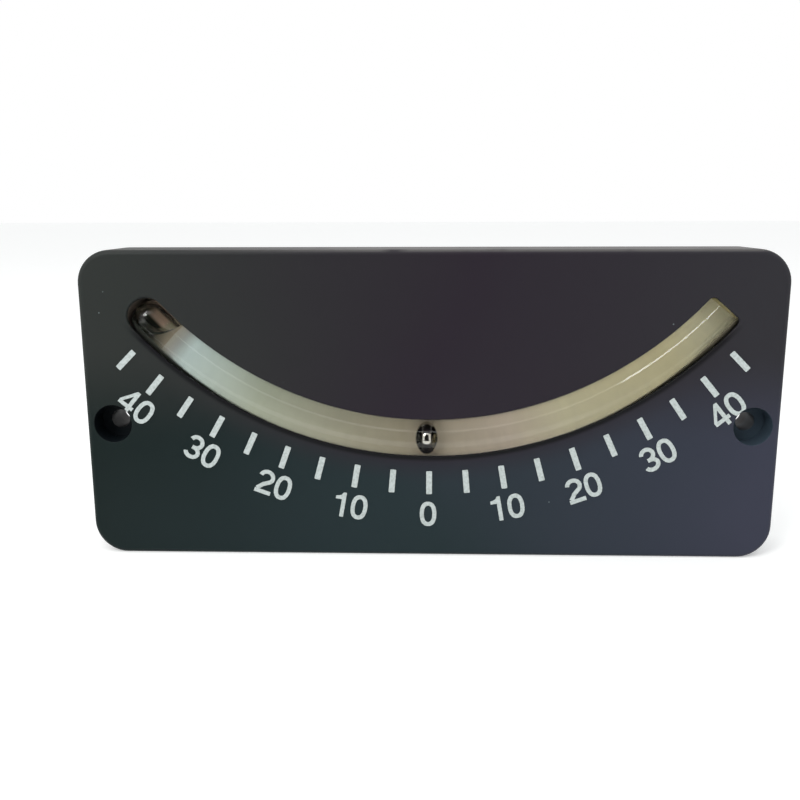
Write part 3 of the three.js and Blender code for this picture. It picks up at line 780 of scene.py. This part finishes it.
def makeTube():
    left, right = tube["leftDegrees"] * perDegree, tube["rightDegrees"] * perDegree
    radius, edge = tube["radius"], tube["endRound"]
    stations = dome(left, tube["domeLength"], radius)
    between = spread(left + tube["domeLength"], right - edge, steps["tube"])[1:-1]
    stations += [(along, radius) for along in between]
    stations += [(right - edge + rise, radius - edge + run)
                 for rise, run in roundedEdge(edge, steps["tubeEnd"])]
    glass = bentRod("liquidFilledTube", stations)

    # air left at the closed end, down to the oil's surface, which climbs the glass a little
    tip, radius = left + tube["domeLength"] - tube["boreDomeLength"], tube["boreRadius"]
    stations = dome(tip, tube["boreDomeLength"], radius)
    between = spread(tip + tube["boreDomeLength"], bubble["reachDegrees"] * perDegree, steps["bubble"])[1:]
    stations += [(along, radius) for along in between]
    air = bentRod("airBubble", stations)
    bowl = []
    for radius in spread(tube["tipRadius"], bubble["bowlRadius"], steps["oilSurface"]):
        up = bubble["up"] + radius * radius / (2 * bubble["roundness"])
        bowl.append([(bubble["x"] + radius * math.cos(a), up, arc["tubeOut"] + radius * math.sin(a))
                     for a in fullTurn(steps["round"])])
    combine(air, skin("oilSurface", bowl), "INTERSECT")
    air.data.flip_normals()
    both = bmesh.new()
    both.from_mesh(glass.data)
    both.from_mesh(air.data)
    both.to_mesh(glass.data)
    both.free()
    bpy.data.objects.remove(air)
    finishPiece(glass, tubeGlass, "housing",
                ["glass_tube", "damping_liquid_left", "damping_liquid_right"])
    glass.modifiers.clear()


def makeStopper():
    start, end = stopper["innerDegrees"] * perDegree, tube["rightDegrees"] * perDegree + stopper["proud"]
    radius, edge = tube["boreRadius"], stopper["edge"]
    rounding = roundedEdge(edge, steps["edge"])
    stations = [(start + edge - run, radius - edge + rise) for rise, run in rounding]
    stations += [(end - edge + rise, radius - edge + run) for rise, run in rounding]
    plug = bentRod("tubeStopper", stations, steps["stopper"])
    finishPiece(plug, creamRubber, "housing", ["tube_plug"])


def makeBall():
    low, high = Vector(ballLow) / mm, Vector(ballHigh) / mm
    middle, radius = (low + high) / 2, (high.x - low.x) / 2
    rings = []
    for a in spread(-math.pi / 2, math.pi / 2, steps["ballRings"]):
        flat, out = max(radius * math.cos(a), ball["poleRadius"]), -middle.y + radius * math.sin(a)
        rings.append(circle((middle.x, middle.z), flat, out, steps["ball"]))
    finishPiece(skin("steelBall", rings), bearingSteel, "ball", ["ball"],
                creaseDegrees=ball["creaseDegrees"])


backing = {"thickness": 0.5, "halfWidth": 4.3, "edge": 0.12, "corner": 0.5}
adhesive = {
    # it has run out to the groove's walls, and a little way under the film
    "halfWidth": 4.4, "startDegrees": -49.85, "underFilmDegrees": 0.4, "startCorner": 4.2, "corner": 0.3,
    "thickness": 0.45, "edge": 0.2,
}


def makeStrip(name, startDegrees, endDegrees, sizes):
    floor, top, edge = groove["floorOut"], groove["floorOut"] + sizes["thickness"], sizes["edge"]
    levels = [(floor, 0)]
    levels += [(top - edge + rise, run - edge) for rise, run in roundedEdge(edge, steps["edge"])]
    return skin(name, [arcStrip(startDegrees, endDegrees, sizes["halfWidth"], sizes["corner"], out, grow,
                                sizes.get("startCorner")) for out, grow in levels])


def makeBacking():
    strip = makeStrip("backingFilm", film["leftDegrees"], film["rightDegrees"], backing)
    finishPiece(strip, creamFilm, "housing", ["tube_backing"])
    end = film["leftDegrees"] + adhesive["underFilmDegrees"]
    pad = makeStrip("endAdhesive", adhesive["startDegrees"], end, adhesive)
    finishPiece(pad, adhesiveWithPaintedLight, "housing", ["tube_end_adhesive"])


bead = {
    "length": 10, "middleDegrees": 28, "hollowDegrees": (25, 42), "gap": 0.3, "foot": 0.8, "lift": 0.02,
    # how bluntly the ends taper, the square of the size they taper to, and how much the rings vary
    "bluntness": 8, "endSizeSquared": 0.02, "uneven": (0.93, 1.0), "seed": 11,
}


def makeBead(name, node, degrees, side, rng):
    # a bead pressed between film and wall, hollowed by the tube and uneven along its length
    reach, wall = tube["radius"] + bead["gap"], groove["halfWidth"] - bead["gap"]
    floor = groove["floorOut"] + backing["thickness"] + bead["lift"]
    outwardShift = arc["tubeRadius"] - arc["radius"]
    hollow = [(outwardShift + side * reach * math.cos(a), arc["tubeOut"] - reach * math.sin(a))
              for a in spread(*[math.radians(d) for d in bead["hollowDegrees"]], steps["beadHollow"])]
    wall, foot = side * wall, side * (wall - bead["foot"])
    section = hollow + [(foot, floor), (wall, floor), (wall, hollow[0][1])]
    middle = (sum(p[0] for p in section) / len(section), sum(p[1] for p in section) / len(section))
    rings = []
    for share in spread(0, 1, steps["bead"]):
        taper = max(1 - abs(2 * share - 1) ** bead["bluntness"], bead["endSizeSquared"])
        size = min(1.0, math.sqrt(taper)) * rng.uniform(*bead["uneven"])
        along = degrees * perDegree + (share - 0.5) * bead["length"]
        rings.append([(*arcPoint(along / perDegree, middle[0] + (outward - middle[0]) * size),
                       middle[1] + (out - middle[1]) * size) for outward, out in section])
    finishPiece(skin(name, rings), blackSilicone, "housing", [node])


makeTube()
makeStopper()
makeBall()
makeBacking()
beadRng = random.Random(bead["seed"])
for sideName, sign in (("left", -1), ("right", 1)):
    for edgeName, edgeSign in (("inner", -1), ("outer", 1)):
        makeBead(f"tubeBead_{sideName}_{edgeName}", f"tube_bead_{sideName}_{edgeName}",
                 sign * bead["middleDegrees"], edgeSign, beadRng)
print("tube, ball, backing and beads made")


# Printed scale

ink = {"thickness": 0.1, "wander": 0.022, "stepMm": 0.16, "seed": 5}
bar = {"length": 4.9, "width": 1.2, "corner": 0.16, "every": 5, "last": 45}
digit = {
    "pitch": 3.85, "height": 5.3, "width": 3.45, "stroke": 0.85, "shift": -0.2,
    "middleRadius": 93.95, "lastRadius": 93.25, "every": 10, "last": 40,
}
halfWide, halfTall = digit["width"] / 2, digit["height"] / 2
bowlWide, bowlTall = halfWide - digit["stroke"] / 2, halfTall - digit["stroke"] / 2
numeral = {
    # in shares of a digit's half width and half height, and in degrees
    "zeroPower": 0.86,  # sides a little straighter than an ellipse's
    "oneLeft": 0.02, "oneFlag": ((0.14, 1), (-0.08, 0.78), (-0.36, 0.7), (-0.72, 0.66), (-0.72, 0.42)),
    "twoBowl": 0.46, "twoTurn": (170, -40), "twoWaist": (-0.19, -0.25),
    "threeUpper": (0.94, 0.44), "threeNeck": 0.33, "threeTurn": 165,
    "four": ((0.2, -1), (0.68, -1), (0.68, -0.6), (1, -0.6), (1, -0.3), (0.68, -0.3), (0.68, 1),
             (0.24, 1), (-1, -0.26), (-1, -0.6), (0.2, -0.6)),
    "fourHole": ((0.2, -0.3), (0.2, 0.5), (-0.6, -0.3)),
}


def strokeOutline(path):
    # a band as wide as the stroke, with mitred corners
    sides = ([], [])
    for i, point in enumerate(path):
        into = Vector(point) - Vector(path[max(i - 1, 0)])
        onward = Vector(path[min(i + 1, len(path) - 1)]) - Vector(point)
        into = onward if into.length == 0 else into
        onward = into if onward.length == 0 else onward
        along = (into.normalized() + onward.normalized()).normalized()
        reach = digit["stroke"] / 2 / along.dot(into.normalized())
        sides[0].append((point[0] - along.y * reach, point[1] + along.x * reach))
        sides[1].insert(0, (point[0] + along.y * reach, point[1] - along.x * reach))
    return sides[0] + sides[1]


def ellipse(centre, reach, fromDegrees, toDegrees, count=steps["numeral"]):
    angles = [math.radians(a) for a in spread(fromDegrees, toDegrees, count)]
    return [(centre[0] + reach[0] * math.cos(a), centre[1] + reach[1] * math.sin(a)) for a in angles]


def flattened(share):
    return math.copysign(abs(share) ** numeral["zeroPower"], share)


def oval(reachX, reachUp):
    return [(reachX * flattened(math.cos(a)), reachUp * flattened(math.sin(a)))
            for a in fullTurn(steps["zero"])]


def fromShares(shares):
    return [(x * halfWide, up * halfTall) for x, up in shares]


def digitOutlines(character):
    # (outlines to join, outlines to cut)
    if character == "0":
        return [oval(halfWide, halfTall)], [oval(halfWide - digit["stroke"], halfTall - digit["stroke"])]
    if character == "1":
        left = numeral["oneLeft"]
        right = left + digit["stroke"] / halfWide
        stem, flag = [(left, -1), (right, -1), (right, 1)], list(numeral["oneFlag"])
        return [fromShares(stem + flag + [(left, flag[-1][1])])], []
    if character == "2":
        reach = (bowlWide, halfTall * numeral["twoBowl"])
        bowl = ellipse((0, bowlTall - reach[1]), reach, *numeral["twoTurn"])
        slope = [*fromShares([numeral["twoWaist"]]), (-bowlWide, digit["stroke"] - halfTall)]
        foot = [(-halfWide, -bowlTall), (halfWide, -bowlTall)]
        return [strokeOutline(bowl + slope), strokeOutline(foot)], []
    if character == "3":
        upper = (bowlWide * numeral["threeUpper"][0], halfTall * numeral["threeUpper"][1])
        lower, turn = (bowlWide, bowlTall - upper[1]), numeral["threeTurn"]
        neck = (-bowlWide * numeral["threeNeck"], bowlTall - 2 * upper[1])
        return [strokeOutline(ellipse((0, bowlTall - upper[1]), upper, turn, -90) + [neck]),
                strokeOutline(ellipse((0, lower[1] - bowlTall), lower, 90, -turn))], []
    return [fromShares(numeral["four"])], [fromShares(numeral["fourHole"])]


def wander(outline, rng):
    # the same outline in short steps, each a hair off, as ink edges are
    result, off = [], ink["wander"]
    for i, point in enumerate(outline):
        a, b = Vector(point), Vector(outline[(i + 1) % len(outline)])
        count = max(1, round((b - a).length / ink["stepMm"]))
        for k in range(count):
            p = a.lerp(b, k / count)
            result.append((p.x + rng.uniform(-1, 1) * off, p.y + rng.uniform(-1, 1) * off))
    return result


def printedShape(name, outline, degrees, radius, shift, low, high):
    sine, cosine = math.sin(math.radians(degrees)), math.cos(math.radians(degrees))
    middle = (radius * sine, arc["centreUp"] - radius * cosine)
    placed = [(middle[0] + (x + shift) * cosine - up * sine, middle[1] + (x + shift) * sine + up * cosine)
              for x, up in outline]
    return skin(name, [[(*point, out) for point in placed] for out in (low, high)])


def scaleName(degrees):
    if degrees == 0:
        return "centre"
    return f"{'left' if degrees < 0 else 'right'}_{abs(degrees)}"


face = plate["depth"]
inkRng = random.Random(ink["seed"])


def makeBars():
    corner = bar["corner"]
    halfBar = (bar["width"] / 2 - corner, bar["length"] / 2 - corner)
    outline = []
    for quarter, (sx, sy) in enumerate(quadrants):
        middle = (sx * halfBar[0], sy * halfBar[1])
        outline += ellipse(middle, (corner, corner), quarter * 90, (quarter + 1) * 90, steps["barCorner"])
    for degrees in range(-bar["last"], bar["last"] + 1, bar["every"]):
        name = scaleName(degrees)
        piece = printedShape("printedBar_" + name, wander(outline, inkRng), degrees, arc["tickRadius"], 0,
                             face, face + ink["thickness"])
        finishPiece(piece, screenInk, "housing", ["tick_" + name])


def makeDigit(name, node, character, number, shift):
    share = abs(number) / digit["last"]
    radius = digit["middleRadius"] + (digit["lastRadius"] - digit["middleRadius"]) * share
    place, through = (number, radius, shift), (face - overrun, face + overrun)
    joined, cuts = digitOutlines(character)
    bodies = [printedShape(name, wander(outline, inkRng), *place, face, face + ink["thickness"])
              for outline in joined]
    piece = bodies[0]
    for extra in bodies[1:]:
        combine(piece, extra, "UNION")
    for outline in cuts:
        combine(piece, printedShape("cut", wander(outline, inkRng), *place, *through))
    if abs(number) == digit["last"]:
        # the screw seats cut into the outermost numbers
        for seat in mountPlaces:
            combine(piece, rod(seat, mount["seatRadius"] + mount["lip"], *through))
    finishPiece(piece, screenInk, "housing", [node])


def makeNumbers():
    for number in range(-digit["last"], digit["last"] + 1, digit["every"]):
        text = str(abs(number))
        for i, character in enumerate(text):
            shift = digit["shift"] + (i - (len(text) - 1) / 2) * digit["pitch"]
            place = "" if len(text) == 1 else "_" + ("tens", "units")[i]
            name = scaleName(number) + place
            makeDigit("printedDigit_" + name, "digit_" + name, character, number, shift)


makeBars()
makeNumbers()
print("scale printed")


# Floor, light and camera

studio = {
    "floor": "#e9e9e7",
    # white that the floor shows to the camera and in reflections, besides its own lit colour
    "floorLift": 0.3,
    "floorReach": 6.0,  # in metres
    "worldColour": "#f4f6f8",
    "worldLevel": 0.85,
    "matt": 0.9, "mattSpecular": 0.1,  # roughness and shine of the paper and the cloth
}
lamps = {
    # name: (place in mm, aimed at, size in mm, turned by degrees, watts, colour)
    "window": ((-379, -589, 562), (49, -14, 10), (320, 240), 52, 2.7, "#ffffff"),
    "overhead": ((-100, -450, 650), (0, 0, 0), (1000, 800), 0, 2.4, "#fbfdff"),
}
# the camera, solved from the photograph's bars and outline: in mm and degrees
view = {
    "place": (0.04, -192.72, 39.05), "turn": (78.168, 0.167, 1.892), "lens": 40.5, "sensor": 36,
    "nearest": 10,
}
blackCard = {"halfWidth": 160, "top": 256, "out": 260, "footOut": 90, "aboveFloor": 1, "cloth": "#1a1a1b"}


def seenDirectly(tree):
    # 1 to the camera, in mirror images and through glass, and 0 for the light that a thing gives others
    path = addNode(tree, "ShaderNodeLightPath").outputs
    seen = calculate(tree, "MAXIMUM", path["Is Camera Ray"], path["Is Glossy Ray"])
    return calculate(tree, "MAXIMUM", seen, path["Is Transmission Ray"])


def addSheet(name, points, faces, material):
    mesh = bpy.data.meshes.new(name)
    mesh.from_pydata(points, [], faces)
    mesh.materials.append(material)
    return addObject(name, mesh)


def makeFloor():
    material, tree = newMaterial("palePaper")
    lift = times(tree, seenDirectly(tree), studio["floorLift"])
    finishMaterial(tree, principled(tree, hexColour(studio["floor"]), studio["matt"], {
        "Specular IOR Level": studio["mattSpecular"],
        "Emission Color": (1, 1, 1, 1), "Emission Strength": lift,
    }))
    reach = studio["floorReach"]
    corners = [(sx * reach, sy * reach, cadLow.z) for sx, sy in quadrants]
    floor = addSheet("studioFloor", corners, [(0, 1, 2, 3)], material)


def makeBlackCard():
    # a dark cloth behind and below the camera, where a photographer is: only mirror images show it
    material, tree = newMaterial("blackCloth")
    cloth = principled(tree, hexColour(blackCard["cloth"]), studio["matt"], {
        "Specular IOR Level": studio["mattSpecular"],
    })
    # scattered light goes through it, so that it darkens nothing
    path = addNode(tree, "ShaderNodeLightPath").outputs
    scattered = calculate(tree, "MINIMUM", path["Diffuse Depth"], 1.0)
    finishMaterial(tree, mixShaders(tree, scattered, cloth, clearShader(tree)))
    half, low, out = blackCard["halfWidth"], cadLow.z / mm + blackCard["aboveFloor"], blackCard["out"]
    edges = ((low, blackCard["footOut"]), (low, out), (blackCard["top"], out))
    corners = [toFrame(side * half, up, outward) for up, outward in edges for side in (-1, 1)]
    card = addSheet("blackCard", corners, [(0, 1, 3, 2), (2, 3, 5, 4)], material)
    card.visible_camera = card.visible_shadow = False


def makeWorld():
    world = bpy.data.worlds.new("paleStudio")
    world.use_nodes = True
    tree = world.node_tree
    tree.nodes.clear()
    levels = ((hexColour(studio["worldColour"]), studio["worldLevel"]), ((1, 1, 1, 1), 1.0))
    soft, white = [addNode(tree, "ShaderNodeBackground", {"Color": colour, "Strength": level}).outputs[0]
                   for colour, level in levels]
    finishMaterial(tree, mixShaders(tree, seenDirectly(tree), soft, white), "World")
    bpy.context.scene.world = world


def makeLamps():
    for name, (place, target, size, turned, watts, colour) in lamps.items():
        data = bpy.data.lights.new(name, "AREA")
        data.shape = "RECTANGLE"
        data.size, data.size_y = size[0] * mm, size[1] * mm
        data.energy = watts
        data.color = hexColour(colour)[:3]
        lamp = addObject(name, data)
        lamp.location = Vector(place) * mm
        aim = (Vector(target) - Vector(place)).to_track_quat("-Z", "Y")
        lamp.rotation_euler = (aim @ Quaternion((0, 0, 1), math.radians(turned))).to_euler()


def makeCamera():
    data = bpy.data.cameras.new("camera")
    data.lens, data.sensor_width = view["lens"], view["sensor"]
    data.clip_start = view["nearest"] * mm
    camera = addObject("camera", data)
    camera.location = Vector(view["place"]) * mm
    camera.rotation_euler = [math.radians(a) for a in view["turn"]]
    bpy.context.scene.camera = camera


makeFloor()
makeBlackCard()
makeWorld()
makeLamps()
makeCamera()
bpy.context.scene.view_settings.view_transform = "Standard"
print("studio made")
